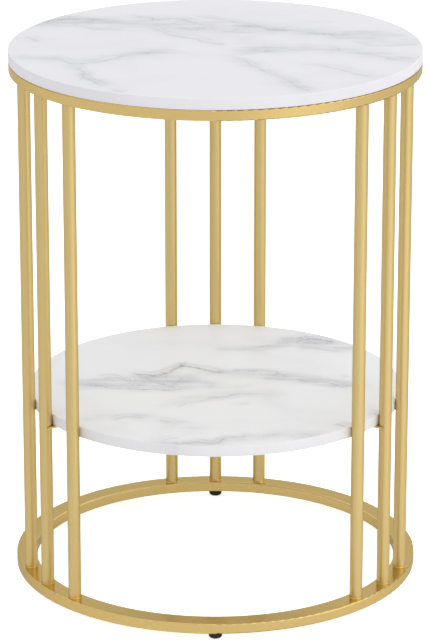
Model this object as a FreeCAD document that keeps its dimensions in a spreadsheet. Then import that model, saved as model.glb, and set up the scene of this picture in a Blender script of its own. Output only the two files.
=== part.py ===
import FreeCAD, Part
import Sketcher
import os

# Round side table: a marble-effect top and shelf on a welded frame of two tube rings and nine posts.
# The origin is on the floor, under the middle of the top. +Z is up and the front of the table is -Y.

# Driving dimensions in millimetres, post_step_angle in degrees
DIMENSIONS = {
    "top_diameter": 450,
    "top_thickness": 12,
    "shelf_thickness": 12,
    "shelf_rise": 185,
    "shelf_clearance": 0.3,
    "band_thickness": 1,
    "band_round": 0.6,
    "ring_width": 22,
    "ring_height": 12,
    "ring_wall": 1.2,
    "ring_corner": 1.5,
    "post_diameter": 14,
    "post_wall": 1,
    "post_length": 559,
    "post_step_angle": 14,
    "tab_cheek": 2,
    "tab_thickness": 2,
    "tab_reach": 16,
    "tab_ear": 2,
    "tab_corner": 4,
    "screw_diameter": 4,
    "screw_head_diameter": 8,
    "screw_head_rim": 1,
    "screw_head_crown": 1.4,
    "screw_tip": 3,
    "screw_cover": 3,
    "screw_clearance": 0.25,
    "access_clearance": 0.75,
    "pad_diameter": 15,
    "pad_height": 7,
    "pad_round_share": 0.5,
    "pad_floor": 1.6,
    "stud_diameter": 6,
    "stud_headroom": 1.5,
    "stud_chamfer": 0.6,
    "insert_wall": 1.45,
    "insert_lip": 1,
    "insert_flange": 0.8,
    "insert_headroom": 1,
    "fit_clearance": 0.05,
}

# Radii that several pieces share
TOP_RADIUS = "(Sizes.top_diameter / 2)"
RING_INNER = f"({TOP_RADIUS} - Sizes.ring_width)"
POST_CIRCLE = f"({TOP_RADIUS} - Sizes.ring_width / 2)"
POST_RADIUS = "(Sizes.post_diameter / 2)"
SHELF_RADIUS = f"({POST_CIRCLE} - {POST_RADIUS} - Sizes.shelf_clearance)"
SCREW_RADIUS = "(Sizes.screw_diameter / 2)"
SCREW_HEAD_RADIUS = "(Sizes.screw_head_diameter / 2)"
SCREW_CROWN_RADIUS = f"({SCREW_HEAD_RADIUS} - Sizes.screw_head_crown)"
SCREW_POINT_RADIUS = f"({SCREW_RADIUS} / 5)"
PILOT_RADIUS = f"({SCREW_RADIUS} + Sizes.fit_clearance)"
SCREW_HOLE_RADIUS = f"({SCREW_RADIUS} + Sizes.screw_clearance)"
ACCESS_RADIUS = f"({SCREW_HEAD_RADIUS} + Sizes.access_clearance)"
STUD_RADIUS = "(Sizes.stud_diameter / 2)"
THREAD_RADIUS = f"({STUD_RADIUS} + Sizes.fit_clearance)"
BARREL_RADIUS = f"({THREAD_RADIUS} + Sizes.insert_wall)"
FLANGE_RADIUS = f"({BARREL_RADIUS} + Sizes.insert_lip)"
INSERT_HOLE_RADIUS = f"({BARREL_RADIUS} + Sizes.fit_clearance)"

# Reach of a tab from its post's axis, to its inner end and to its screw
TAB_END = f"({POST_RADIUS} + Sizes.shelf_clearance + Sizes.tab_reach)"
TAB_SCREW = f"({POST_RADIUS} + Sizes.shelf_clearance + Sizes.tab_reach / 2)"
TAB_HALF_WIDTH = f"({POST_RADIUS} + Sizes.tab_cheek)"
TAB_SCREW_CIRCLE = f"({POST_CIRCLE} - {TAB_SCREW})"

# Levels above the floor
LOWER_RING_BASE = "(Sizes.pad_height + Sizes.insert_flange)"
LOWER_RING_TOP = f"({LOWER_RING_BASE} + Sizes.ring_height)"
UPPER_RING_BASE = f"({LOWER_RING_TOP} + Sizes.post_length)"
TOP_BOARD_BASE = f"({UPPER_RING_BASE} + Sizes.ring_height)"
SHELF_BASE = f"({LOWER_RING_TOP} + Sizes.shelf_rise)"
TAB_BASE = f"({SHELF_BASE} - Sizes.tab_thickness)"

# Depth that a screw goes into its board
TOP_BITE = "(Sizes.top_thickness - Sizes.screw_cover)"
SHELF_BITE = "(Sizes.shelf_thickness - Sizes.screw_cover)"

# Room inside the ring tube, from its underside to the inner face of its top wall
RING_ROOM = "(Sizes.ring_height - Sizes.ring_wall)"

# Posts by name: the angle of the group's middle post, and the place in the group
POSTS = {
    "back_left": (90, 1),
    "back_middle": (90, 0),
    "back_right": (90, -1),
    "left_rear": (210, -1),
    "left_middle": (210, 0),
    "left_front": (210, 1),
    "right_front": (330, -1),
    "right_middle": (330, 0),
    "right_rear": (330, 1),
}

# The middle post of each group, which carries a tab under the shelf
TAB_POSTS = ("back_middle", "left_middle", "right_middle")

# Feet by name and angle, and the angles of the screws that hold the top
FEET = {"right": 0, "back": 90, "left": 180, "front": 270}
TOP_SCREW_ANGLES = (0, 60, 120, 180, 240, 300)

FULL_ANGLE = 360

doc = FreeCAD.newDocument("SideTable")
sheet = doc.addObject("Spreadsheet::Sheet", "Sizes")
for row, (alias, number) in enumerate(DIMENSIONS.items(), 1):
    sheet.set(f"A{row}", alias)
    sheet.set(f"B{row}", str(number))
    sheet.setAlias(f"B{row}", alias)
doc.recompute()

# Sub-parts in the order they are made, each with the number of solids it should hold
pieces = []


def value(expression):
    """The number that an expression over the sheet gives."""
    return float(sheet.evalExpression(expression))


def post_angle(name):
    """Angle of a post round the table, as an expression in degrees."""
    middle, place_in_group = POSTS[name]
    return f"({middle} + {place_in_group} * Sizes.post_step_angle)"


def set_down(piece, angle, radius, level):
    """Turn a piece to an angle round the table and set it at a radius and a level."""
    turned = FreeCAD.Rotation(FreeCAD.Vector(0, 0, 1), value(angle))
    piece.Placement = FreeCAD.Placement(FreeCAD.Vector(0, 0, 0), turned)
    piece.setExpression("Placement.Base.x", f"{radius} * cos({angle})")
    piece.setExpression("Placement.Base.y", f"{radius} * sin({angle})")
    piece.setExpression("Placement.Base.z", level)
    piece.setExpression("Placement.Rotation.Angle", angle)


def new_body(label, level, angle="0", radius="0"):
    """The body of one sub-part at its place in the table."""
    body = doc.addObject("PartDesign::Body", label)
    body.Label = label
    set_down(body, angle, radius, level)
    pieces.append((body, 1))
    return body


def origin_part(body, role):
    """The body's own origin plane or axis with that role."""
    return next(part for part in body.Origin.OriginFeatures if part.Role == role)


def new_sketch(body, name, role="XY_Plane", level="0"):
    """An empty sketch on one of the body's origin planes, or at a level above it."""
    sketch = body.newObject("Sketcher::SketchObject", name)
    sketch.AttachmentSupport = [(origin_part(body, role), "")]
    sketch.MapMode = "FlatFace"
    sketch.setExpression("AttachmentOffset.Base.z", level)
    return sketch


def tie_distance(sketch, kind, axis, geometry, point, expression):
    """Tie a point's distance from the sketch's origin along one axis to an expression."""
    distance = value(expression)
    if distance == 0:
        sketch.addConstraint(Sketcher.Constraint("PointOnObject", geometry, point, axis))
    elif distance > 0:
        index = sketch.addConstraint(Sketcher.Constraint(kind, -1, 1, geometry, point, distance))
        sketch.setExpression(f"Constraints[{index}]", expression)
    else:
        index = sketch.addConstraint(Sketcher.Constraint(kind, geometry, point, -1, 1, -distance))
        sketch.setExpression(f"Constraints[{index}]", f"-1 * {expression}")


def tie_point(sketch, geometry, point, across, up):
    """Tie a point of the sketch to two expressions."""
    tie_distance(sketch, "DistanceX", -2, geometry, point, across)
    tie_distance(sketch, "DistanceY", -1, geometry, point, up)


def add_circle(sketch, radius, across="0", up="0"):
    """A circle in a sketch, its centre and radius tied to expressions."""
    centre = FreeCAD.Vector(value(across), value(up), 0)
    outline = Part.Circle(centre, FreeCAD.Vector(0, 0, 1), value(radius))
    circle = sketch.addGeometry(outline, False)
    tie_point(sketch, circle, 3, across, up)
    index = sketch.addConstraint(Sketcher.Constraint("Radius", circle, value(radius)))
    sketch.setExpression(f"Constraints[{index}]", radius)


def add_rectangle(sketch, left, right, bottom, top):
    """A rectangle in a sketch, its sides tied to expressions."""
    corners = ((left, bottom), (right, bottom), (right, top), (left, top))
    points = [FreeCAD.Vector(value(across), value(up), 0) for across, up in corners]
    lines = []
    for start, end in zip(points, points[1:] + points[:1]):
        lines.append(sketch.addGeometry(Part.LineSegment(start, end), False))
    for line, following in zip(lines, lines[1:] + lines[:1]):
        sketch.addConstraint(Sketcher.Constraint("Coincident", line, 2, following, 1))
    for line, direction in zip(lines, ("Horizontal", "Vertical", "Horizontal", "Vertical")):
        sketch.addConstraint(Sketcher.Constraint(direction, line))
    tie_point(sketch, lines[0], 1, left, bottom)
    tie_point(sketch, lines[2], 1, right, top)


def pad(body, name, sketch, length):
    """Raise a sketch into a solid."""
    feature = body.newObject("PartDesign::Pad", name)
    feature.Profile = sketch
    feature.setExpression("Length", length)
    return feature


def pocket(body, name, sketch, depth):
    """Cut a sketch upwards out of the body."""
    feature = body.newObject("PartDesign::Pocket", name)
    feature.Profile = sketch
    feature.Reversed = True
    feature.setExpression("Length", depth)
    return feature


def repeat_round(body, name, features, count):
    """Repeat features evenly round the body's upright axis."""
    pattern = body.newObject("PartDesign::PolarPattern", name)
    pattern.Originals = features
    pattern.Axis = (origin_part(body, "Z_Axis"), [""])
    pattern.Angle = FULL_ANGLE
    pattern.Occurrences = count
    body.Tip = pattern


def finish_edges(body, name, kind, size_name, size, is_chosen):
    """Round or chamfer the edges of the body for which is_chosen is true."""
    doc.recompute()
    edges = body.Tip.Shape.Edges
    chosen = [f"Edge{number}" for number, edge in enumerate(edges, 1) if is_chosen(edge)]
    feature = body.newObject(kind, name)
    feature.Base = (feature.BaseFeature, chosen)
    feature.setExpression(size_name, size)


def is_round(edge, radius):
    """Whether an edge is a full circle of that radius."""
    return isinstance(edge.Curve, Part.Circle) and abs(edge.Curve.Radius - value(radius)) < 1e-6


def make_board(label, radius, thickness, level):
    """A round board without its edge band."""
    body = new_body(label, level)
    outline = new_sketch(body, f"{label}_outline")
    add_circle(outline, f"({radius} - Sizes.band_thickness)")
    pad(body, f"{label}_disc", outline, thickness)
    return body


def make_band(label, radius, thickness, level):
    """The band round a board's edge, its outer corners eased."""
    body = new_body(label, level)
    outline = new_sketch(body, f"{label}_outline")
    add_circle(outline, radius)
    add_circle(outline, f"({radius} - Sizes.band_thickness)")
    pad(body, f"{label}_hoop", outline, thickness)
    finish_edges(body, f"{label}_ease", "PartDesign::Fillet", "Radius", "Sizes.band_round",
                 lambda edge: is_round(edge, radius))


def make_ring(label, level):
    """A ring of rectangular tube with rounded outer corners."""
    body = new_body(label, level)
    section = new_sketch(body, f"{label}_section", "XZ_Plane")
    add_rectangle(section, RING_INNER, TOP_RADIUS, "0", "Sizes.ring_height")
    add_rectangle(section, f"({RING_INNER} + Sizes.ring_wall)", f"({TOP_RADIUS} - Sizes.ring_wall)",
                  "Sizes.ring_wall", RING_ROOM)
    tube = body.newObject("PartDesign::Revolution", f"{label}_tube")
    tube.Profile = section
    tube.ReferenceAxis = (section, ["V_Axis"])
    tube.Angle = FULL_ANGLE
    finish_edges(body, f"{label}_corners", "PartDesign::Fillet", "Radius", "Sizes.ring_corner",
                 lambda edge: is_round(edge, RING_INNER) or is_round(edge, TOP_RADIUS))
    return body


def make_post(name):
    """A round tube that stands on the lower ring and ends under the upper ring."""
    label = f"{name}_post"
    body = new_body(label, LOWER_RING_TOP, post_angle(name), POST_CIRCLE)
    section = new_sketch(body, f"{label}_section")
    add_circle(section, POST_RADIUS)
    add_circle(section, f"({POST_RADIUS} - Sizes.post_wall)")
    pad(body, f"{label}_tube", section, "Sizes.post_length")


def make_tab(name):
    """A forked plate round the inner side of a post, with a screw hole under the shelf."""
    label = f"{name}_tab"
    body = new_body(label, TAB_BASE, post_angle(name), POST_CIRCLE)
    outline = new_sketch(body, f"{label}_outline")
    add_rectangle(outline, f"(-1 * {TAB_END})", "Sizes.tab_ear", f"(-1 * {TAB_HALF_WIDTH})", TAB_HALF_WIDTH)
    pad(body, f"{label}_plate", outline, "Sizes.tab_thickness")
    finish_edges(body, f"{label}_corners", "PartDesign::Fillet", "Radius", "Sizes.tab_corner",
                 lambda edge: edge.BoundBox.ZLength > 0 and edge.BoundBox.XMax < 0)
    cuts = new_sketch(body, f"{label}_cuts")
    add_circle(cuts, f"({POST_RADIUS} + Sizes.fit_clearance)")
    add_circle(cuts, SCREW_HOLE_RADIUS, f"(-1 * {TAB_SCREW})")
    pocket(body, f"{label}_fork", cuts, "Sizes.tab_thickness")


def make_foot(name, angle):
    """A levelling foot: a dome pad, its threaded stud and the rivet nut in the ring's underside."""
    pad_label = f"{name}_foot_pad"
    body = new_body(pad_label, "0", str(angle), POST_CIRCLE)
    outline = new_sketch(body, f"{pad_label}_outline")
    add_circle(outline, "(Sizes.pad_diameter / 2)")
    pad(body, f"{pad_label}_disc", outline, "Sizes.pad_height")
    finish_edges(body, f"{pad_label}_dome", "PartDesign::Fillet", "Radius",
                 "Sizes.pad_height * Sizes.pad_round_share",
                 lambda edge: edge.BoundBox.ZMax < value("Sizes.pad_height") / 2)
    socket = new_sketch(body, f"{pad_label}_socket_outline", level="Sizes.pad_floor")
    add_circle(socket, THREAD_RADIUS)
    pocket(body, f"{pad_label}_socket", socket, "Sizes.pad_height")

    stud_label = f"{name}_foot_stud"
    body = new_body(stud_label, "Sizes.pad_floor", str(angle), POST_CIRCLE)
    outline = new_sketch(body, f"{stud_label}_outline")
    add_circle(outline, STUD_RADIUS)
    stud_length = f"({LOWER_RING_BASE} + {RING_ROOM} - Sizes.stud_headroom - Sizes.pad_floor)"
    pad(body, f"{stud_label}_rod", outline, stud_length)
    finish_edges(body, f"{stud_label}_lead", "PartDesign::Chamfer", "Size", "Sizes.stud_chamfer",
                 lambda edge: edge.BoundBox.ZMin > value(stud_length) / 2 and edge.Closed
                 and is_round(edge, STUD_RADIUS))

    insert_label = f"{name}_foot_insert"
    body = new_body(insert_label, "Sizes.pad_height", str(angle), POST_CIRCLE)
    outline = new_sketch(body, f"{insert_label}_flange_outline")
    add_circle(outline, FLANGE_RADIUS)
    pad(body, f"{insert_label}_flange", outline, "Sizes.insert_flange")
    outline = new_sketch(body, f"{insert_label}_barrel_outline")
    add_circle(outline, BARREL_RADIUS)
    insert_length = f"(Sizes.insert_flange + {RING_ROOM} - Sizes.insert_headroom)"
    pad(body, f"{insert_label}_barrel", outline, insert_length)
    outline = new_sketch(body, f"{insert_label}_bore_outline")
    add_circle(outline, THREAD_RADIUS)
    pocket(body, f"{insert_label}_bore", outline, insert_length)


def make_screw(name, angle, radius, level, grip, bite):
    """A pan-head screw pointing up, its head's bearing face at the level given."""
    straight = f"({grip} + {bite} - Sizes.screw_tip)"
    shank = doc.addObject("Part::Cylinder", f"{name}_shank")
    shank.setExpression("Radius", SCREW_RADIUS)
    shank.setExpression("Height", straight)
    tip = doc.addObject("Part::Cone", f"{name}_tip")
    tip.setExpression("Radius1", SCREW_RADIUS)
    tip.setExpression("Radius2", SCREW_POINT_RADIUS)
    tip.setExpression("Height", "Sizes.screw_tip")
    tip.setExpression("Placement.Base.z", straight)
    rim = doc.addObject("Part::Cylinder", f"{name}_rim")
    rim.setExpression("Radius", SCREW_HEAD_RADIUS)
    rim.setExpression("Height", "Sizes.screw_head_rim")
    rim.setExpression("Placement.Base.z", "-1 * Sizes.screw_head_rim")
    crown = doc.addObject("Part::Cone", f"{name}_crown")
    crown.setExpression("Radius1", SCREW_CROWN_RADIUS)
    crown.setExpression("Radius2", SCREW_HEAD_RADIUS)
    crown.setExpression("Height", "Sizes.screw_head_crown")
    crown.setExpression("Placement.Base.z", "-1 * (Sizes.screw_head_rim + Sizes.screw_head_crown)")
    screw = doc.addObject("Part::MultiFuse", name)
    screw.Shapes = [shank, tip, rim, crown]
    set_down(screw, angle, radius, level)
    return screw


def group_screws(label, screws):
    """One sub-part that holds the separate screws of one kind."""
    group = doc.addObject("Part::Compound", label)
    group.Label = label
    group.Links = screws
    pieces.append((group, len(screws)))


# Top board with pilot holes for the screws from the ring below
top_board = make_board("top_board", TOP_RADIUS, "Sizes.top_thickness", TOP_BOARD_BASE)
pilot = new_sketch(top_board, "top_pilot_outline")
add_circle(pilot, PILOT_RADIUS, POST_CIRCLE)
top_pilot = pocket(top_board, "top_pilot", pilot, TOP_BITE)
repeat_round(top_board, "top_pilots", [top_pilot], len(TOP_SCREW_ANGLES))
make_band("top_edge_band", TOP_RADIUS, "Sizes.top_thickness", TOP_BOARD_BASE)

# Shelf with pilot holes over the tabs
shelf_board = make_board("shelf_board", SHELF_RADIUS, "Sizes.shelf_thickness", SHELF_BASE)
pilot = new_sketch(shelf_board, "shelf_pilot_outline")
for post in TAB_POSTS:
    across = f"({TAB_SCREW_CIRCLE} * cos({post_angle(post)}))"
    up = f"({TAB_SCREW_CIRCLE} * sin({post_angle(post)}))"
    add_circle(pilot, PILOT_RADIUS, across, up)
pocket(shelf_board, "shelf_pilots", pilot, SHELF_BITE)
make_band("shelf_edge_band", SHELF_RADIUS, "Sizes.shelf_thickness", SHELF_BASE)

# Upper ring with a wide hole for each screw head below and a narrow one for its shank above
upper_ring = make_ring("upper_ring", UPPER_RING_BASE)
access = new_sketch(upper_ring, "access_outline")
add_circle(access, ACCESS_RADIUS, POST_CIRCLE)
access_hole = pocket(upper_ring, "access_hole", access, "Sizes.ring_wall")
passage = new_sketch(upper_ring, "passage_outline")
add_circle(passage, SCREW_HOLE_RADIUS, POST_CIRCLE)
passage_hole = pocket(upper_ring, "passage_hole", passage, "Sizes.ring_height")
repeat_round(upper_ring, "screw_holes", [access_hole, passage_hole], len(TOP_SCREW_ANGLES))

# Lower ring with a hole for each foot's rivet nut
lower_ring = make_ring("lower_ring", LOWER_RING_BASE)
seat = new_sketch(lower_ring, "insert_hole_outline")
add_circle(seat, INSERT_HOLE_RADIUS, POST_CIRCLE)
insert_hole = pocket(lower_ring, "insert_hole", seat, "Sizes.ring_wall")
repeat_round(lower_ring, "insert_holes", [insert_hole], len(FEET))

for post in POSTS:
    make_post(post)
for post in TAB_POSTS:
    make_tab(post)
for foot, foot_angle in FEET.items():
    make_foot(foot, foot_angle)

# Screws in their two groups
top_screws = []
for number, screw_angle in enumerate(TOP_SCREW_ANGLES, 1):
    top_screws.append(make_screw(f"top_screw_{number}", str(screw_angle), POST_CIRCLE,
                                 f"({UPPER_RING_BASE} + {RING_ROOM})", "Sizes.ring_wall", TOP_BITE))
group_screws("top_board_screws", top_screws)
shelf_screws = []
for post in TAB_POSTS:
    shelf_screws.append(make_screw(f"{post}_shelf_screw", post_angle(post), TAB_SCREW_CIRCLE,
                                   TAB_BASE, "Sizes.tab_thickness", SHELF_BITE))
group_screws("shelf_screws", shelf_screws)

doc.recompute()

# Faults that would spoil the parts stop the build
for item in doc.Objects:
    if "Invalid" in item.State or "Error" in item.State:
        raise ValueError(f"{item.Label} did not build: {item.State}")
    if item.TypeId == "PartDesign::Pocket" and item.Shape.Volume >= item.BaseFeature.Shape.Volume:
        raise ValueError(f"{item.Label} cuts nothing")

os.makedirs("parts", exist_ok=True)
for piece, solid_count in pieces:
    if piece.Shape.isNull() or not piece.Shape.isValid():
        raise ValueError(f"{piece.Label} has no valid shape")
    if len(piece.Shape.Solids) != solid_count:
        raise ValueError(f"{piece.Label} has {len(piece.Shape.Solids)} solids")
    piece.Shape.exportStep(f"parts/{piece.Label}.step")
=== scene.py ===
import math

import bmesh
import bpy
import numpy as np
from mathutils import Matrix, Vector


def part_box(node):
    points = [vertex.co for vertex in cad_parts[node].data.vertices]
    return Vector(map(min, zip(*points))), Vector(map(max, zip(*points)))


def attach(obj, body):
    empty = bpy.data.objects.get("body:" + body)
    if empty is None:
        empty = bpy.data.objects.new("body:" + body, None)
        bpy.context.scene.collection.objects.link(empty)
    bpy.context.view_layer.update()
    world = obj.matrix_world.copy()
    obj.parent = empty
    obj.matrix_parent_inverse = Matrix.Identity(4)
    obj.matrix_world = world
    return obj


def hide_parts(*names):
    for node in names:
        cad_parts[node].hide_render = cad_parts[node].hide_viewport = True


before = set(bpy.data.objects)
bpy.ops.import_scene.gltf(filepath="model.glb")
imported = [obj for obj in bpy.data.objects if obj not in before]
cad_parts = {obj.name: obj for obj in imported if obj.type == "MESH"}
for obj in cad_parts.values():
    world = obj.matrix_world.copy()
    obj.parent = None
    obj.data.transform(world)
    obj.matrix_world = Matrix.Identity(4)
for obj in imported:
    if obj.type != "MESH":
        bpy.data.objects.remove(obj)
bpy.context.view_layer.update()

MM = 0.001

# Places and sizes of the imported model, in metres
TOP_LOW, TOP_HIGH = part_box("top_board")
SHELF_LOW, SHELF_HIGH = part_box("shelf_board")
TOP_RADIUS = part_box("top_edge_band")[1].y
SHELF_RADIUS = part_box("shelf_edge_band")[1].y
BAND_THICKNESS = TOP_RADIUS - TOP_HIGH.y
LOWER_RING_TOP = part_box("lower_ring")[1].z
RING_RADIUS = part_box("upper_ring")[1].y
UPPER_RING_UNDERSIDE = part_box("upper_ring")[0].z

POSTS = ("back_left", "back_middle", "back_right", "left_rear", "left_middle", "left_front",
         "right_front", "right_middle", "right_rear")
FEET = ("front", "back", "left", "right")

# Small forms, in metres
BOARD_EASE = 0.12 * MM
BAND_ROUND = 0.6 * MM
WELD_SIZE = 0.7 * MM
WELD_SINK = 0.3 * MM
SCREW_HEAD_RADIUS = 4 * MM
SCREW_CROWN = 1.4 * MM
SCREW_RIM = 1 * MM
SCREW_CORE_RADIUS = 1.4 * MM
SCREW_RIDGE = 0.6 * MM
SCREW_PITCH = 1.6 * MM
SCREW_TIP = 3 * MM
RECESS_HALF_WIDTH = 0.7 * MM
RECESS_REACH = 2.3 * MM
RECESS_DEPTH = 1.3 * MM
RECESS_WALL = 0.3 * MM
STUD_PITCH = 1 * MM
STUD_GROOVE = 0.55 * MM
STUD_CHAMFER = 0.6 * MM

# Form of a screw: the bend of its crown, the steepness of its ridge, and what its tip keeps
CROWN_POWER = 2.5
RIDGE_STEEPNESS = 4
TIP_SHARE = 0.1

# Screws: where they sit round the table in degrees, and how much further round each one's
# recess has stopped than the last one's, in radians
TOP_SCREW_ANGLES = (0, 60, 120, 180, 240, 300)
SHELF_SCREW_ANGLES = (90, 210, 330)
SCREW_STOP_STEP = 0.7

# Number of points round and along the small forms
BEND_POINTS = 7
WELD_TURNS = 48
SCREW_TURNS = 64
SCREW_HEAD_ROWS = 34
SCREW_SHANK_ROWS = 80
STUD_TURNS = 48
STUD_ROWS_PER_PITCH = 12

# Points of a new piece that lie closer than this, in metres, are joined, and its edges that turn
# by more than this, in degrees, stay sharp
JOIN_DISTANCE = 1e-7
SHARP_ANGLE = 40

# Points that carry the veins: the step between their rows in metres, and how many go once round
VEIN_STEP = 1.6 * MM
VEIN_TURNS = 640

# Sizes of the patterns in the finishes, in metres
CLOUD_SIZE = 111 * MM
HAIR_SIZE = 38.5 * MM
PAPER_FLECK = 1.1 * MM
PLATE_PATCH = 33 * MM
NYLON_FLOW_MARK = 2.5 * MM
ZINC_TUMBLE_MARK = 1.4 * MM

# The lines left by rubbing are really about 0.2 mm wide, and are drawn coarser so that they show
RUBBED_LINE = 1.1 * MM
RUBBED_LENGTH = 50 * MM
RUBBED_DEPTH = 0.02 * MM

# Most of a noise pattern's values lie between these two
NOISE_LOW = 0.3
NOISE_HIGH = 0.7

# Veins of the marble print on the top, in millimetres from the middle, +y to the back.
# Each is a path, the half width of its dark line and how dark it is from 0 to 1.
TOP_VEINS = {
    "back_smear": ([(-194, 105), (-183, 121), (-163, 124), (-150, 121)], 7, 0.55),
    "back_smear_low": ([(-184, 96), (-150, 98)], 4, 0.35),
    "back_left": ([(-152, 127), (-135, 124), (-118, 110), (-100, 113)], 5, 0.4),
    "back_left_low": ([(-151, 98), (-133, 82), (-99, 77)], 4, 0.45),
    "band": ([(-104, 137), (-80, 135), (-61, 125), (-46, 130), (-28, 113), (0, 91)], 5, 0.6),
    "band_upper": ([(-23, 144), (0, 131), (30, 106)], 4, 0.55),
    "band_low": ([(-49, 91), (-24, 77), (0, 74), (29, 65), (55, 62)], 5, 0.4),
    "slant": ([(-75, 91), (-47, 50), (-31, 41), (0, 12), (13, 7)], 5, 0.45),
    "dark": ([(14, 96), (41, 91), (63, 77), (96, 67), (118, 56), (148, 44)], 4, 0.9),
    "far_right": ([(96, 113), (134, 113)], 4, 0.2),
    "right_upper": ([(150, 59), (179, 59), (214, 44)], 4, 0.4),
    "right_lower": ([(150, 27), (171, 2), (201, 7), (223, 12)], 4, 0.4),
    "second": ([(33, -33), (66, -16), (121, -16), (141, -25), (174, -41), (192, -58),
                (218, -69)], 6, 0.38),
    "right": ([(85, -80), (114, -87), (137, -109), (172, -143)], 5, 0.4),
    "diagonal": ([(11, -39), (30, -61), (43, -94), (73, -143), (84, -173), (101, -202)], 4, 0.36),
    "left": ([(-214, -52), (-166, -61), (-155, -79), (-126, -70), (-97, -43), (-59, -25),
              (0, -43)], 5, 0.45),
    "swirl": ([(-152, -87), (-142, -109), (-137, -135), (-127, -156), (-110, -173)], 4, 0.45),
    "swirl_low": ([(-109, -190), (-94, -198)], 4, 0.3),
    "patch": ([(-209, 48), (-191, 16)], 5, 0.35),
}

# Veins of the marble print on the shelf, in the same form
SHELF_VEINS = {
    "main_left": ([(-129, 13), (-117, 17), (-92, 1)], 4, 0.6),
    "main_middle": ([(-98, 36), (-81, 25), (-60, 27), (-40, 53), (-25, 51), (1, 34),
                     (18, 36)], 5, 0.8),
    "strand": ([(-81, 18), (-72, 7), (-60, -7), (-41, -20)], 4, 0.55),
    "sharp": ([(-150, -9), (-131, -13), (-105, -22), (-59, -24), (-24, -22)], 4, 0.6),
    "main_right": ([(18, 36), (51, 41), (76, 31)], 3, 0.7),
    "main_thick": ([(50, 14), (73, 10), (98, 7), (126, -3), (150, -22)], 6, 0.55),
    "right_spur": ([(140, 18), (153, 17)], 4, 0.3),
    "back": ([(21, 110), (47, 119), (60, 126), (81, 140)], 6, 0.15),
    "corner": ([(93, 147), (116, 151), (139, 140)], 6, 0.65),
    "corner_low": ([(95, 119), (115, 117), (141, 106)], 5, 0.5),
    "middle": ([(0, -20), (46, -11)], 4, 0.15),
    "middle_low": ([(58, -43), (34, -39), (20, -45), (-7, -55), (-33, -72), (-42, -85)], 4, 0.35),
    "middle_third": ([(16, -76), (41, -70)], 4, 0.25),
    "speck": ([(-43, 55), (-36, 56)], 3, 0.9),
    "second_speck": ([(-64, 34), (-56, 32)], 4, 0.7),
    "left": ([(-113, -124), (-97, -116), (-75, -118)], 5, 0.4),
    "left_low": ([(-64, -124), (-48, -134), (-38, -141)], 5, 0.3),
    "front": ([(-58, -198), (-43, -204), (-23, -194), (0, -195), (10, -183), (24, -179),
               (70, -169)], 4, 0.6),
    "front_upper": ([(-57, -188), (-39, -177)], 4, 0.3),
    "front_right": ([(83, -183), (107, -171)], 4, 0.35),
    "right_patch": ([(129, -134), (140, -146)], 6, 0.45),
    "far_right": ([(166, -100), (177, -104)], 5, 0.35),
}

# Soft grey clouds of the print along the veins, with no line in them, in the same form
TOP_CLOUDS = {
    "back": ([(-195, 106), (-150, 116), (-100, 110), (-50, 108), (0, 97), (60, 82), (120, 60),
              (160, 48)], 24, 0.3),
    "back_left": ([(-192, 110), (-170, 120), (-140, 122)], 14, 0.28),
    "middle": ([(-70, 82), (-30, 60), (30, 30), (60, -10)], 20, 0.16),
    "right": ([(30, -22), (80, -6), (130, -12), (180, -38), (215, -60)], 17, 0.28),
    "right_rim": ([(150, 45), (185, 30), (220, 25)], 18, 0.2),
    "left": ([(-205, -48), (-160, -58), (-110, -50), (-60, -20)], 15, 0.2),
    "front_left": ([(-150, -90), (-135, -130), (-115, -165)], 12, 0.2),
    "front_right": ([(25, -60), (60, -120), (90, -185)], 14, 0.18),
}
SHELF_CLOUDS = {
    "main_left": ([(-150, -4), (-110, 0), (-70, 6), (-35, 12)], 19, 0.4),
    "main_right": ([(10, 32), (60, 24), (110, 6), (155, -12)], 15, 0.36),
    "under_main": ([(-75, 2), (-40, -2), (-8, -5)], 14, 0.3),
    "corner": ([(88, 142), (115, 138), (150, 118)], 17, 0.4),
    "back": ([(15, 112), (50, 118), (85, 138)], 14, 0.22),
    "middle": ([(-55, -72), (0, -45), (60, -38)], 13, 0.14),
    "left": ([(-150, -115), (-95, -112), (-50, -128), (-20, -160)], 15, 0.16),
    "front": ([(-60, -198), (0, -192), (60, -172), (110, -165)], 11, 0.24),
}

# How a vein is drawn: darknesses are shares of its own, and widths are in its half widths
LINE_DARK = 0.55
LINE_WIDTH = 0.42
LINE_WIDTH_SWING = 0.22
STRAND_DARK = 0.22
STRAND_WIDTH = 0.45
STRAND_GAP = 1.9
STRAND_GAP_SWING = 0.6
HAZE_DARK = 0.26
HAZE_WIDTH = 2.6
HAZE_LEVEL = 0.8
HAZE_SWING = 0.3

# Share of a vein's path that fades at each end, and what is left at the very end
END_FADE = 0.15
END_LEAST = 0.1

# How a cloud is drawn: its mean level, the swing of its streaks, and how they are drawn out
STREAK_LEVEL = 0.75
STREAK_SWING = 0.45
STREAK_SQUEEZE = (0.35, 1.4)

# Sizes of the unevenness of lines, strands, haze and streaks, in millimetres
LINE_WOBBLE = 29
STRAND_WOBBLE = 23
HAZE_WOBBLE = 17
STREAK_WOBBLE = 9

# Shifts that make the lines run unevenly: how far, and over what size, in millimetres
SHIFTS_ACROSS = ((2.0, 13), (0.7, 3.5))
SHIFTS_ALONG = ((2.6, 11), (0.9, 3.1))

# The waves of an unevenness: shares of x and y, share of the size, and start in radians
WAVES = ((1, 0.6, 1, 1.3), (0.8, -1, 0.63, 4.1), (0.3, 1, 0.41, 2.2), (1, -0.2, 0.29, 0.4))
WAVES_DIVISOR = 3

# Points along a smooth path from one given point to the next
PATH_STEPS = 6

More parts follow.
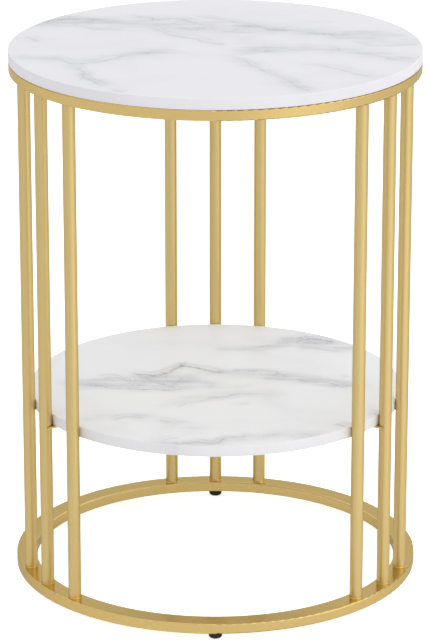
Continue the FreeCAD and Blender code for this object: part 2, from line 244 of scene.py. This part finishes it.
# The two boards: their size, their print and its strength, where on its roll it was cut, in metres,
# and the white of the face and of the band. The shelf's face white is painted paler and bluer than
# the top's: painted light that lifts the shade the top casts on it and the warm cast from the gold.
BOARDS = {
    "top": {"radius": TOP_RADIUS, "low": TOP_LOW.z, "high": TOP_HIGH.z,
            "veins": TOP_VEINS, "clouds": TOP_CLOUDS, "vein_share": 0.87,
            "print_shift": 3.7, "face_white_with_painted_light": "#EEEEF2", "band_white": "#F0EFF4"},
    # Painted light: the shelf's face white is paler and bluer than the top's, to lift the shade under
    # the top
    "shelf": {"radius": SHELF_RADIUS, "low": SHELF_LOW.z, "high": SHELF_HIGH.z,
              "veins": SHELF_VEINS, "clouds": SHELF_CLOUDS, "vein_share": 0.95,
              "print_shift": 9.1, "face_white_with_painted_light": "#F7F9FD", "band_white": "#F4F3F5"},
}

# The print is paler on the bands, whose film is stretched round the edge
BAND_VEIN_SHARE = 0.3

# Backing paper covers what lies less than this above a board's underside, in metres
PAPER_REACH = 0.2 * MM

# Camera at the photograph's angle, its place in metres and its angles in degrees
PICTURE_HEIGHT = 640
FOCAL_LENGTH_PIXELS = 3525.6
CAMERA_PLACE = (0, -3.7249, 1.5195)
CAMERA_PITCH = 18.265
CAMERA_YAW = 0.0074
SENSOR_WIDTH = 36

# Room light: its even level, how much more comes from its bright side, and how much less comes
# from behind the lens, over this span of the cosine to that direction
ROOM_LEVEL = 0.776
ROOM_SWING = 0.245
BRIGHT_SIDE = (0.9, -0.7, 0.2)
CAMERA_SIDE = (0, -0.98, 0.2)
CAMERA_SIDE_DROP = 0.24
CAMERA_SIDE_SPAN = (0.55, 1.0)

# A ring of brighter light high up: how much brighter, and the heights over which it comes and
# goes, from 0 at the horizon to 1 overhead
LIGHT_RING_LEVEL = 0.48
LIGHT_RING_RISE = (0.36, 0.58)
LIGHT_RING_FALL = (0.68, 0.88)

# Studio floor: half its width in metres, how much the lens sees it lifted, how much the mirror
# images see it lifted, and the centre, radius and brightness of the pools that these also see
FLOOR_HALF_WIDTH = 30
FLOOR_LIFT = 0.75
MIRROR_LIFT = 0.03
MIRROR_POOLS = (
    ((0.9, -1.0, 0), 1.3, 0.32),
    ((0, -0.2, 0), 0.9, 0.12),
    ((1.6, -1.25, 0), 1.8, 0.18),
)

# Key light from the front right: place, target and size in metres, and power in watts
KEY_PLACE = (2.6, -2.6, 1.6)
KEY_TARGET = (0, 0, 0.4)
KEY_WIDTH = 2.6
KEY_HEIGHT = 2.4
KEY_POWER = 11


def linear(code):
    """A colour for shaders from an sRGB hex code, with full alpha."""
    parts = [int(code[start:start + 2], 16) / 255 for start in (1, 3, 5)]
    return tuple(p / 12.92 if p <= 0.04045 else ((p + 0.055) / 1.055) ** 2.4 for p in parts) + (1.0,)


def add_node(tree, kind, inputs=None, **settings):
    """Add a shader node, with its settings, and values or links for its input sockets."""
    made = tree.nodes.new(kind)
    for name, setting in settings.items():
        setattr(made, name, setting)
    for socket, given in (inputs or {}).items():
        if isinstance(given, bpy.types.NodeSocket):
            tree.links.new(given, made.inputs[socket])
        else:
            made.inputs[socket].default_value = given
    return made


def new_material(name):
    """An empty material, its node tree and its output node."""
    material = bpy.data.materials.new(name)
    material.use_nodes = True
    material.node_tree.nodes.clear()
    output = add_node(material.node_tree, "ShaderNodeOutputMaterial")
    return material, material.node_tree, output


def grid_faces(rows, columns, close_rows):
    """Four-sided faces of a grid of points, numbered row by row, whose columns go once round.

    Where the rows close too, the last row is joined to the first.
    """
    row = np.arange(rows if close_rows else rows - 1)[:, None]
    column = np.arange(columns)[None, :]
    next_row = (row + 1) % rows
    next_column = (column + 1) % columns
    corners = (row * columns + column, row * columns + next_column,
               next_row * columns + next_column, next_row * columns + column)
    return np.stack(np.broadcast_arrays(*corners), axis=-1).reshape(-1, 4)


def add_surface(name, grids, body, material, close_rows=False):
    """A smooth piece that rides a body, from grids of points whose columns go once round.

    Points that meet are joined, so that poles are closed.
    """
    points = np.stack(grids)
    copies, rows, columns = points.shape[:3]
    first_points = np.arange(copies)[:, None, None] * rows * columns
    faces = (grid_faces(rows, columns, close_rows)[None] + first_points).reshape(-1, 4)
    mesh = bpy.data.meshes.new(name)
    mesh.from_pydata(points.reshape(-1, 3), [], faces)
    work = bmesh.new()
    work.from_mesh(mesh)
    bmesh.ops.remove_doubles(work, verts=work.verts, dist=JOIN_DISTANCE)
    work.to_mesh(mesh)
    work.free()
    mesh.polygons.foreach_set("use_smooth", np.ones(len(mesh.polygons), dtype=bool))
    mesh.set_sharp_from_angle(angle=math.radians(SHARP_ANGLE))
    piece = bpy.data.objects.new(name, mesh)
    bpy.context.scene.collection.objects.link(piece)
    piece.data.materials.append(material)
    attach(piece, body)
    return piece


def lathe(profile, turn_count, centre=(0, 0)):
    """Points of a profile of (radius, height) rows turned round an upright axis.

    A row of the grid is radius * cos(turn), radius * sin(turn), height, for turns that go once
    round. A profile that runs out along the bottom, up and back in along the top gives faces
    that look outward.
    """
    radius, height = np.asarray(profile, dtype=float).T
    turns = np.linspace(0, 2 * np.pi, turn_count, endpoint=False)
    across = centre[0] + np.outer(radius, np.cos(turns))
    along = centre[1] + np.outer(radius, np.sin(turns))
    up = np.repeat(height[:, None], turn_count, axis=1)
    return np.stack([across, along, up], axis=-1)


def board_profile(radius, low, high):
    """Outline of a board's section, for the lathe, with both corners eased by a small chamfer.

    It runs out along the underside, up the side and in along the face in fine, even steps.
    """
    eased = radius - BOARD_EASE
    below = [(0, low), (radius / 2, low), (eased, low),
             (radius, low + BOARD_EASE), (radius, high - BOARD_EASE)]
    face = [(reach, high) for reach in np.arange(eased, 0, -VEIN_STEP)]
    return below + face + [(0, high)]


def band_profile(radius, low, high):
    """Outline of an edge band's section, for the lathe, with rounded outer corners.

    Each is a quarter circle: round * sin(bend) out and round * (1 - cos(bend)) up, or the same
    turned over at the top.
    """
    bend = np.linspace(0, np.pi / 2, BEND_POINTS)
    middle = radius - BAND_ROUND
    lower = [(middle + BAND_ROUND * math.sin(a), low + BAND_ROUND * (1 - math.cos(a))) for a in bend]
    upper = [(middle + BAND_ROUND * math.cos(a), high - BAND_ROUND * (1 - math.sin(a))) for a in bend]
    inner = radius - BAND_THICKNESS
    return [(inner, low)] + lower + upper + [(inner, high)]


def weld(centre, level, radius, upward):
    """Points of the weld round a post's end, on a ring at the level given, above it or below it.

    Its section is the corner between post and ring, hollowed by a quarter circle that touches
    both, and it goes a little into the metal: a row's reach is radius + size * (1 - sin(bend))
    and its rise size * (1 - cos(bend)).
    """
    bend = np.linspace(0, np.pi / 2, BEND_POINTS)
    reach = np.concatenate([[radius - WELD_SINK, radius + WELD_SIZE],
                            radius + WELD_SIZE * (1 - np.sin(bend)), [radius - WELD_SINK]])
    rise = np.concatenate([[-WELD_SINK, -WELD_SINK], WELD_SIZE * (1 - np.cos(bend)), [WELD_SIZE]])
    section = np.stack([reach, level + rise], axis=-1)
    if not upward:
        section = np.stack([reach, level - rise], axis=-1)[::-1]
    return lathe(section, WELD_TURNS, centre)


def screw(centre, low, high, stop_turn):
    """Points of a pan-head screw with a cross recess, head down at the low level, tip at the high.

    The head rises from its middle by crown * (reach / head radius) to a power. The recess goes up
    into it by its depth where a point lies in one of two crossed slots, whose walls slope. On the
    shank a ridge, 1 - steepness * distance from the middle of the turn's pitch, winds round a
    core, and the tip tapers.
    """
    turns = np.linspace(0, 2 * np.pi, SCREW_TURNS, endpoint=False)[None, :]
    bearing = low + SCREW_CROWN + SCREW_RIM
    head_reach = np.linspace(0, SCREW_HEAD_RADIUS, SCREW_HEAD_ROWS)[:, None] + 0 * turns
    across = np.abs(head_reach * np.cos(turns - stop_turn))
    along = np.abs(head_reach * np.sin(turns - stop_turn))
    narrow = np.clip((RECESS_HALF_WIDTH - np.stack([across, along])) / RECESS_WALL, 0, 1)
    short = np.clip((RECESS_REACH - np.stack([along, across])) / RECESS_WALL, 0, 1)
    recess = RECESS_DEPTH * (narrow * short).max(axis=0)
    head_height = low + SCREW_CROWN * (head_reach / SCREW_HEAD_RADIUS) ** CROWN_POWER + recess
    shank_height = np.linspace(bearing, high, SCREW_SHANK_ROWS)[:, None] + 0 * turns
    place_in_pitch = (shank_height / SCREW_PITCH - turns / (2 * np.pi)) % 1
    ridge = SCREW_RIDGE * np.clip(1 - RIDGE_STEEPNESS * np.abs(place_in_pitch - 0.5), 0, 1)
    taper = np.clip((high - shank_height) / SCREW_TIP, TIP_SHARE, 1)
    rim = head_reach[-1:]
    reach = np.vstack([head_reach, rim, (SCREW_CORE_RADIUS + ridge) * taper, 0 * rim])
    height = np.vstack([head_height, 0 * rim + bearing, shank_height, 0 * rim + high])
    across = centre[0] + reach * np.cos(turns)
    along = centre[1] + reach * np.sin(turns)
    return np.stack([across, along, height], axis=-1)


def threaded_stud(low, high):
    """Points of a threaded stud that fills the box between two corners.

    The radius is the outer one less the groove's depth times a triangle wave of
    height / pitch - turn, 0 at a crest and 1 at a root. Both ends are chamfered and closed.
    """
    turns = np.linspace(0, 2 * np.pi, STUD_TURNS, endpoint=False)[None, :]
    radius = (high.x - low.x) / 2
    row_count = round((high.z - low.z) / STUD_PITCH * STUD_ROWS_PER_PITCH) + 1
    level = np.linspace(low.z, high.z, row_count)[:, None] + 0 * turns
    place_in_pitch = (level / STUD_PITCH - turns / (2 * np.pi)) % 1
    groove = STUD_GROOVE * (1 - np.abs(2 * place_in_pitch - 1))
    from_end = np.minimum(level - low.z, high.z - level)
    reach = np.minimum(radius - groove, radius - STUD_CHAMFER + from_end)
    axis = 0 * turns
    reach = np.vstack([axis, reach, axis])
    height = np.vstack([axis + low.z, level, axis + high.z])
    middle = (low + high) / 2
    across = middle.x + reach * np.cos(turns)
    along = middle.y + reach * np.sin(turns)
    return np.stack([across, along, height], axis=-1)


def smooth_path(path):
    """Points along a smooth curve through the given points.

    Each stretch is a cubic, and its slope at a point is half the step from the point before that
    one to the point after it. The path is drawn out by one point at each end for this.
    """
    knots = np.asarray(path, dtype=float)
    padded = np.vstack([2 * knots[0] - knots[1], knots, 2 * knots[-1] - knots[-2]])
    share = np.linspace(0, 1, PATH_STEPS, endpoint=False)[None, :, None]
    stretches = len(padded) - 3
    before, start, end, after = (padded[shift:stretches + shift, None, :] for shift in range(4))
    curve = 0.5 * (2 * start + (end - before) * share
                   + (2 * before - 5 * start + 4 * end - after) * share ** 2
                   + (3 * start - before - 3 * end + after) * share ** 3)
    return np.vstack([curve.reshape(-1, 2), knots[-1:]])


def wobble(x, y, size):
    """A smooth unevenness between about -1 and 1, of that size in millimetres.

    It is the sum of four crossing sine waves, divided so that it seldom leaves that range.
    """
    waves = sum(np.sin((share_x * x + share_y * y) / (share_size * size) + start)
                for share_x, share_y, share_size, start in WAVES)
    return waves / WAVES_DIVISOR


def nearest_on_path(x, y, path):
    """Distance of points from a path, share of the way along it from 0 to 1, and side as -1 or 1."""
    curve = smooth_path(path)
    nearest = np.full_like(x, np.inf)
    place = np.zeros_like(x)
    side = np.zeros_like(x)
    for index, (start, end) in enumerate(zip(curve[:-1], curve[1:])):
        run = end - start
        away_x = x - start[0]
        away_y = y - start[1]
        share = np.clip((away_x * run[0] + away_y * run[1]) / (run @ run), 0, 1)
        distance = np.hypot(away_x - share * run[0], away_y - share * run[1])
        closer = distance < nearest
        nearest = np.where(closer, distance, nearest)
        place = np.where(closer, (index + share) / (len(curve) - 1), place)
        side = np.where(closer, np.sign(run[0] * away_y - run[1] * away_x), side)
    return nearest, place, side


def vein_darkness(x, y, veins, clouds):
    """Darkness from 0 to 1 of a veined print at points in millimetres.

    Each vein adds dark * (line + strand + haze). The line falls off with the square of the
    distance from the vein's path over its half width, the strand is a second, weaker line that
    runs beside it, and the haze is a wider fall-off. All fade at the path's two ends. A cloud is
    a wide fall-off alone, with streaks in it. The points are first shifted a little by the
    wobble, so that the lines run unevenly.
    """
    shifted_x = sum((far * wobble(x, y, size) for far, size in SHIFTS_ACROSS), x)
    shifted_y = sum((far * wobble(y, x, size) for far, size in SHIFTS_ALONG), y)
    clear = np.ones_like(x)
    for path, half_width, dark in veins.values():
        nearest, place, side = nearest_on_path(shifted_x, shifted_y, path)
        width = half_width * (LINE_WIDTH + LINE_WIDTH_SWING * wobble(x, y, LINE_WOBBLE))
        line = LINE_DARK * np.exp(-(nearest / width) ** 2)
        gap = half_width * (STRAND_GAP + STRAND_GAP_SWING * wobble(y, x, STRAND_WOBBLE))
        strand_width = STRAND_WIDTH * half_width
        strand = STRAND_DARK * np.exp(-((side * nearest - gap) / strand_width) ** 2)
        haze = HAZE_DARK * np.exp(-(nearest / (HAZE_WIDTH * half_width)) ** 2)
        haze = haze * (HAZE_LEVEL + HAZE_SWING * wobble(x, y, HAZE_WOBBLE))
        fade_in = np.clip(place / END_FADE, END_LEAST, 1)
        fade = fade_in * np.clip((1 - place) / END_FADE, END_LEAST, 1)
        clear *= 1 - np.clip(dark * (fade * (line + strand) + np.sqrt(fade) * haze), 0, 1)
    for path, half_width, dark in clouds.values():
        nearest = nearest_on_path(shifted_x, shifted_y, path)[0]
        uneven = wobble(STREAK_SQUEEZE[0] * x, STREAK_SQUEEZE[1] * y, STREAK_WOBBLE)
        streaks = STREAK_LEVEL + STREAK_SWING * uneven
        clear *= 1 - np.clip(dark * streaks * np.exp(-(nearest / half_width) ** 2), 0, 1)
    return 1 - clear


def store_veins(piece, veins, clouds, share):
    """Keep a share of the print's darkness at each point of the piece, for its material to read."""
    mesh = piece.data
    places = np.empty(len(mesh.vertices) * 3, dtype=np.float32)
    mesh.vertices.foreach_get("co", places)
    x, y = places.reshape(-1, 3)[:, :2].T.astype(float) / MM
    values = (share * vein_darkness(x, y, veins, clouds)).astype(np.float32)
    mesh.attributes.new("vein", "FLOAT", "POINT").data.foreach_set("value", values)


def make_marble(name, print_shift, white, paper_level=None):
    """Marble print under a satin film, with plain backing paper below the level given, if any.

    The eye gets cool white with soft grey clouds, the given veins, fine hair lines
    beside them and a slightly uneven sheen. The paper is a warm white with fine flecks.
    """
    material, tree, output = new_material(name)
    place = add_node(tree, "ShaderNodeTexCoord").outputs["Object"]
    shift = (print_shift, 2 * print_shift, 0)
    shifted = add_node(tree, "ShaderNodeVectorMath", {0: place, 1: shift}, operation="ADD").outputs[0]
    veins = add_node(tree, "ShaderNodeAttribute", attribute_name="vein").outputs["Fac"]
    cloud = add_node(tree, "ShaderNodeTexNoise",
                     {"Vector": shifted, "Scale": 1 / CLOUD_SIZE, "Detail": 5,
                      "Roughness": 0.55, "Distortion": 0.6}).outputs["Fac"]
    cloud_dark = add_node(tree, "ShaderNodeMapRange",
                          {"Value": cloud, "From Min": 0.48, "From Max": 0.78,
                           "To Min": 0.0, "To Max": 0.13}).outputs["Result"]
    hair = add_node(tree, "ShaderNodeTexNoise",
                    {"Vector": shifted, "Scale": 1 / HAIR_SIZE, "Detail": 6,
                     "Roughness": 0.6, "Distortion": 1.2}).outputs["Fac"]
    # A hair line runs where the noise crosses its middle value
    off_middle = add_node(tree, "ShaderNodeMath", {0: hair, 1: 0.5}, operation="SUBTRACT").outputs[0]
    off_middle = add_node(tree, "ShaderNodeMath", {0: off_middle}, operation="ABSOLUTE").outputs[0]
    hair_line = add_node(tree, "ShaderNodeMapRange",
                         {"Value": off_middle, "From Min": 0.0, "From Max": 0.035,
                          "To Min": 1.0, "To Max": 0.0}).outputs["Result"]
    near_vein = add_node(tree, "ShaderNodeMapRange",
                         {"Value": veins, "From Min": 0.06, "From Max": 0.5,
                          "To Min": 0.0, "To Max": 0.3}).outputs["Result"]
    hair_dark = add_node(tree, "ShaderNodeMath", {0: hair_line, 1: near_vein},
                         operation="MULTIPLY").outputs[0]
    dark = add_node(tree, "ShaderNodeMath", {0: veins, 1: cloud_dark}, operation="ADD").outputs[0]
    dark = add_node(tree, "ShaderNodeMath", {0: dark, 1: hair_dark}, operation="ADD",
                    use_clamp=True).outputs[0]
    colour = add_node(tree, "ShaderNodeMix",
                      {"Factor": dark, "A": linear(white), "B": linear("#A9ABB1")},
                      data_type="RGBA").outputs["Result"]
    if paper_level is not None:
        height = add_node(tree, "ShaderNodeSeparateXYZ", {"Vector": place}).outputs["Z"]
        is_under = add_node(tree, "ShaderNodeMath", {0: height, 1: paper_level},
                            operation="LESS_THAN").outputs[0]
        fleck = add_node(tree, "ShaderNodeTexNoise",
                         {"Vector": place, "Scale": 1 / PAPER_FLECK, "Detail": 2}).outputs["Fac"]
        paper = add_node(tree, "ShaderNodeMix",
                         {"Factor": fleck, "A": linear("#F3F1ED"), "B": linear("#FAF9F7")},
                         data_type="RGBA").outputs["Result"]
        colour = add_node(tree, "ShaderNodeMix", {"Factor": is_under, "A": colour, "B": paper},
                          data_type="RGBA").outputs["Result"]
    uneven_rough = add_node(tree, "ShaderNodeMapRange",
                            {"Value": hair, "From Min": NOISE_LOW, "From Max": NOISE_HIGH,
                             "To Min": 0.38, "To Max": 0.46}).outputs["Result"]
    film = add_node(tree, "ShaderNodeBsdfPrincipled",
                    {"Base Color": colour, "Roughness": uneven_rough, "Specular IOR Level": 0.35})
    tree.links.new(film.outputs["BSDF"], output.inputs["Surface"])
    return material


def make_gold(name, round_the_ring, rough, deep, pale, edge):
    """Satin gold plate on steel tube, rubbed along the tube before plating.

    The eye gets a warm, soft reflection that breaks into fine streaks, along the ring or up the
    post, and that turns to the edge tone where the surface is seen edge on.
    """
    material, tree, output = new_material(name)
    place = add_node(tree, "ShaderNodeTexCoord").outputs["Object"]
    flat = add_node(tree, "ShaderNodeVectorMath", {0: place, 1: (1, 1, 0)},
                    operation="MULTIPLY").outputs[0]
    height = add_node(tree, "ShaderNodeSeparateXYZ", {"Vector": place}).outputs["Z"]
    # The streaks are drawn out along the tube, and close where they have gone round the ring
    stretch = RUBBED_LINE / RUBBED_LENGTH
    if round_the_ring:
        reach = add_node(tree, "ShaderNodeVectorMath", {0: flat}, operation="LENGTH").outputs["Value"]
        across = add_node(tree, "ShaderNodeCombineXYZ", {"Z": reach}).outputs[0]
        outward = add_node(tree, "ShaderNodeVectorMath", {0: flat}, operation="NORMALIZE").outputs[0]
        slow_turn = (stretch * RING_RADIUS, stretch * RING_RADIUS, 0)
        streak_place = add_node(tree, "ShaderNodeVectorMath",
                                {0: outward, 1: slow_turn, 2: across},
                                operation="MULTIPLY_ADD").outputs[0]
    else:
        streak_place = flat
        height = add_node(tree, "ShaderNodeMath", {0: height, 1: stretch},
                          operation="MULTIPLY").outputs[0]
    line_scale = 1 / RUBBED_LINE
    line_height = add_node(tree, "ShaderNodeMath", {0: height, 1: line_scale},
                           operation="MULTIPLY").outputs[0]
    streak = add_node(tree, "ShaderNodeTexNoise",
                      {"Vector": streak_place, "W": line_height, "Scale": line_scale,
                       "Detail": 4, "Roughness": 0.6}, noise_dimensions="4D").outputs["Fac"]
    patch = add_node(tree, "ShaderNodeTexNoise",
                     {"Vector": place, "Scale": 1 / PLATE_PATCH, "Detail": 3}).outputs["Fac"]
    shade = add_node(tree, "ShaderNodeMix", {"Factor": 0.3, "A": streak, "B": patch},
                     data_type="FLOAT").outputs["Result"]
    colour = add_node(tree, "ShaderNodeMix",
                      {"Factor": shade, "A": linear(deep), "B": linear(pale)},
                      data_type="RGBA").outputs["Result"]
    uneven_rough = add_node(tree, "ShaderNodeMapRange",
                            {"Value": streak, "From Min": NOISE_LOW, "From Max": NOISE_HIGH,
                             "To Min": 0.9 * rough, "To Max": 1.1 * rough}).outputs["Result"]
    bump = add_node(tree, "ShaderNodeBump",
                    {"Strength": 0.02, "Distance": RUBBED_DEPTH, "Height": streak}).outputs["Normal"]
    plate = add_node(tree, "ShaderNodeBsdfPrincipled",
                     {"Base Color": colour, "Metallic": 1.0, "Specular Tint": linear(edge),
                      "Roughness": uneven_rough, "Normal": bump})
    tree.links.new(plate.outputs["BSDF"], output.inputs["Surface"])
    return material


def make_plain(name, dark, light, rough, metallic, spot_size):
    """A moulded or plated surface: two near shades and an uneven gloss, by spots of that size."""
    material, tree, output = new_material(name)
    place = add_node(tree, "ShaderNodeTexCoord").outputs["Object"]
    spots = add_node(tree, "ShaderNodeTexNoise",
                     {"Vector": place, "Scale": 1 / spot_size, "Detail": 3}).outputs["Fac"]
    colour = add_node(tree, "ShaderNodeMix",
                      {"Factor": spots, "A": linear(dark), "B": linear(light)},
                      data_type="RGBA").outputs["Result"]
    uneven_rough = add_node(tree, "ShaderNodeMapRange",
                            {"Value": spots, "From Min": NOISE_LOW, "From Max": NOISE_HIGH,
                             "To Min": 0.85 * rough, "To Max": 1.15 * rough}).outputs["Result"]
    skin = add_node(tree, "ShaderNodeBsdfPrincipled",
                    {"Base Color": colour, "Metallic": metallic, "Roughness": uneven_rough})
    tree.links.new(skin.outputs["BSDF"], output.inputs["Surface"])
    return material


# Gold: the rings' flat faces shine more than the posts, and grey less where they are seen edge on
ring_gold = make_gold("gold_plate_rubbed_round_ring", round_the_ring=True, rough=0.2,
                      deep="#DEC17C", pale="#E6C986", edge="#E2DDD0")
post_gold = make_gold("gold_plate_rubbed_along_post", round_the_ring=False, rough=0.4,
                      deep="#DAC182", pale="#E2C98C", edge="#CFC9BC")

# Nylon from a polished mould: near black, with a sharp shine that ripples a little
black_nylon = make_plain("black_nylon_moulded_glossy", "#0A0908", "#12100F", rough=0.16,
                         metallic=0.0, spot_size=NYLON_FLOW_MARK)

# Zinc plated in a barrel: a bright grey metal, duller in spots where the parts rubbed together
zinc = make_plain("bright_zinc_barrel_plated", "#9EA1A6", "#C3C6CA", rough=0.3,
                  metallic=1.0, spot_size=ZINC_TUMBLE_MARK)

# Boards and their bands, fine enough to carry the veins
for board, facts in BOARDS.items():
    radius, low, high = facts["radius"], facts["low"], facts["high"]
    face_film = make_marble(f"marble_print_satin_film_{board}", facts["print_shift"],
                            facts["face_white_with_painted_light"], low + PAPER_REACH)
    face_grid = lathe(board_profile(radius - BAND_THICKNESS, low, high), VEIN_TURNS)
    sheet = add_surface(f"{board}_marble_board", [face_grid], "table", face_film)
    store_veins(sheet, facts["veins"], facts["clouds"], facts["vein_share"])
    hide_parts(f"{board}_board")
    band_film = make_marble(f"marble_print_edge_band_{board}", facts["print_shift"],
                            facts["band_white"])
    band_grid = lathe(band_profile(radius, low, high), VEIN_TURNS)
    band = add_surface(f"{board}_marble_band", [band_grid], "table", band_film,
                       close_rows=True)
    store_veins(band, facts["veins"], facts["clouds"], facts["vein_share"] * BAND_VEIN_SHARE)
    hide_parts(f"{board}_edge_band")

# Welds at both ends of each post
welds = []
for post in POSTS:
    post_low, post_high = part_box(f"{post}_post")
    middle = (post_low + post_high) / 2
    post_radius = (post_high.y - post_low.y) / 2
    welds.append(weld((middle.x, middle.y), LOWER_RING_TOP, post_radius, True))
    welds.append(weld((middle.x, middle.y), UPPER_RING_UNDERSIDE, post_radius, False))
add_surface("post_welds", welds, "table", post_gold, close_rows=True)

# Screws that hold the top and the shelf. The first of a set lies on the x or the y axis, so that
# the set's box gives the circle that they stand on.
for node, angles, reach_axis in (("top_board_screws", TOP_SCREW_ANGLES, 0),
                                 ("shelf_screws", SHELF_SCREW_ANGLES, 1)):
    screws_low, screws_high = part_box(node)
    circle = screws_high[reach_axis] - SCREW_HEAD_RADIUS
    screws = []
    for number, angle in enumerate(angles):
        turn = math.radians(angle)
        place = (circle * math.cos(turn), circle * math.sin(turn))
        screws.append(screw(place, screws_low.z, screws_high.z, SCREW_STOP_STEP * number))
    made = add_surface(f"{node}_cross_head", screws, "table", zinc)
    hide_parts(node)

# Studs of the feet
for foot in FEET:
    node = f"{foot}_foot_stud"
    stud_grid = threaded_stud(*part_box(node))
    stud = add_surface(f"{foot}_foot_threaded_stud", [stud_grid], node, zinc)
    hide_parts(node)

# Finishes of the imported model's own nodes
for node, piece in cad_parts.items():
    if node.endswith("_ring"):
        finish = ring_gold
    elif node.endswith(("_post", "_tab")):
        finish = post_gold
    elif node.endswith("_pad"):
        finish = black_nylon
    else:
        finish = zinc
    piece.data.materials.clear()
    piece.data.materials.append(finish)


def make_floor():
    """A white studio floor, which the lens sees as plain white with only the deepest shadow on it.

    Pools of light lie on it round the table and in front of it to the right, and show only in
    mirror images. From below the floor is clear.
    """
    size = FLOOR_HALF_WIDTH
    corners = [(-size, -size, 0), (size, -size, 0), (size, size, 0), (-size, size, 0)]
    mesh = bpy.data.meshes.new("studio_floor")
    mesh.from_pydata(corners, [], [(0, 1, 2, 3)])
    floor = bpy.data.objects.new("studio_floor", mesh)
    bpy.context.scene.collection.objects.link(floor)
    material, tree, output = new_material("white_studio_paper")
    paper = add_node(tree, "ShaderNodeBsdfDiffuse", {"Color": linear("#E7E7E7")})
    place = add_node(tree, "ShaderNodeTexCoord").outputs["Object"]
    lifted = MIRROR_LIFT
    for centre, radius, brightness in MIRROR_POOLS:
        away = add_node(tree, "ShaderNodeVectorMath", {0: place, 1: centre},
                        operation="DISTANCE").outputs["Value"]
        pool = add_node(tree, "ShaderNodeMapRange",
                        {"Value": away, "From Min": 0.0, "From Max": radius,
                         "To Min": brightness, "To Max": 0.0},
                        interpolation_type="SMOOTHSTEP").outputs["Result"]
        lifted = add_node(tree, "ShaderNodeMath", {0: pool, 1: lifted}, operation="ADD").outputs[0]
    rays = add_node(tree, "ShaderNodeLightPath").outputs
    mirrored = add_node(tree, "ShaderNodeMath", {0: lifted, 1: rays["Is Glossy Ray"]},
                        operation="MULTIPLY").outputs[0]
    level = add_node(tree, "ShaderNodeMath", {0: rays["Is Camera Ray"], 1: FLOOR_LIFT, 2: mirrored},
                     operation="MULTIPLY_ADD").outputs[0]
    glow = add_node(tree, "ShaderNodeEmission", {"Strength": level})
    both = add_node(tree, "ShaderNodeAddShader", {0: paper.outputs[0], 1: glow.outputs[0]})
    underneath = add_node(tree, "ShaderNodeNewGeometry").outputs["Backfacing"]
    clear = add_node(tree, "ShaderNodeBsdfTransparent")
    one_sided = add_node(tree, "ShaderNodeMixShader",
                         {0: underneath, 1: both.outputs[0], 2: clear.outputs[0]})
    tree.links.new(one_sided.outputs[0], output.inputs["Surface"])
    mesh.materials.append(material)


def make_world():
    """Soft white room light, which the lens sees as plain white.

    It is brighter from the front right, dimmer from behind the lens, and brighter again in a
    ring high up.
    """
    world = bpy.data.worlds.new("studio_room")
    bpy.context.scene.world = world
    world.use_nodes = True
    tree = world.node_tree
    tree.nodes.clear()
    output = add_node(tree, "ShaderNodeOutputWorld")
    direction = add_node(tree, "ShaderNodeTexCoord").outputs["Generated"]
    facing = add_node(tree, "ShaderNodeVectorMath", {0: direction, 1: BRIGHT_SIDE},
                      operation="DOT_PRODUCT").outputs["Value"]
    room_level = add_node(tree, "ShaderNodeMath", {0: facing, 1: ROOM_SWING, 2: ROOM_LEVEL},
                          operation="MULTIPLY_ADD").outputs[0]
    to_lens = add_node(tree, "ShaderNodeVectorMath", {0: direction, 1: CAMERA_SIDE},
                       operation="DOT_PRODUCT").outputs["Value"]
    drop = add_node(tree, "ShaderNodeMapRange",
                    {"Value": to_lens, "From Min": CAMERA_SIDE_SPAN[0],
                     "From Max": CAMERA_SIDE_SPAN[1], "To Min": 0.0, "To Max": CAMERA_SIDE_DROP},
                    interpolation_type="SMOOTHSTEP").outputs["Result"]
    room_level = add_node(tree, "ShaderNodeMath", {0: room_level, 1: drop},
                          operation="SUBTRACT").outputs[0]
    height = add_node(tree, "ShaderNodeSeparateXYZ", {"Vector": direction}).outputs["Z"]
    rise = add_node(tree, "ShaderNodeMapRange",
                    {"Value": height, "From Min": LIGHT_RING_RISE[0],
                     "From Max": LIGHT_RING_RISE[1], "To Min": 0.0, "To Max": LIGHT_RING_LEVEL},
                    interpolation_type="SMOOTHSTEP").outputs["Result"]
    fall = add_node(tree, "ShaderNodeMapRange",
                    {"Value": height, "From Min": LIGHT_RING_FALL[0],
                     "From Max": LIGHT_RING_FALL[1], "To Min": 1.0, "To Max": 0.0},
                    interpolation_type="SMOOTHSTEP").outputs["Result"]
    room_level = add_node(tree, "ShaderNodeMath", {0: rise, 1: fall, 2: room_level},
                          operation="MULTIPLY_ADD").outputs[0]
    seen = add_node(tree, "ShaderNodeLightPath").outputs["Is Camera Ray"]
    level = add_node(tree, "ShaderNodeMix", {"Factor": seen, "A": room_level, "B": 1.0},
                     data_type="FLOAT").outputs["Result"]
    room = add_node(tree, "ShaderNodeBackground", {"Color": linear("#FFFFFF"), "Strength": level})
    tree.links.new(room.outputs[0], output.inputs["Surface"])


def make_key_light():
    """A large, weak rectangular studio light that faces the table."""
    light = bpy.data.lights.new("key_softbox", "AREA")
    light.shape = "RECTANGLE"
    light.size = KEY_WIDTH
    light.size_y = KEY_HEIGHT
    light.energy = KEY_POWER
    lamp = bpy.data.objects.new("key_softbox", light)
    bpy.context.scene.collection.objects.link(lamp)
    lamp.location = KEY_PLACE
    across, along, up = (end - start for end, start in zip(KEY_TARGET, KEY_PLACE))
    tilt = math.atan2(math.hypot(across, along), -up)
    lamp.rotation_euler = (tilt, 0, math.atan2(-across, along))


def make_camera():
    """The camera of the photograph, found from the table's edges in it."""
    camera_data = bpy.data.cameras.new("camera")
    camera_data.sensor_width = SENSOR_WIDTH
    camera_data.lens = FOCAL_LENGTH_PIXELS / PICTURE_HEIGHT * SENSOR_WIDTH
    camera = bpy.data.objects.new("camera", camera_data)
    bpy.context.scene.collection.objects.link(camera)
    camera.location = CAMERA_PLACE
    camera.rotation_euler = (math.radians(90 - CAMERA_PITCH), 0, math.radians(CAMERA_YAW))
    bpy.context.scene.camera = camera


make_floor()
make_world()
make_key_light()
make_camera()
bpy.context.scene.view_settings.view_transform = "Standard"
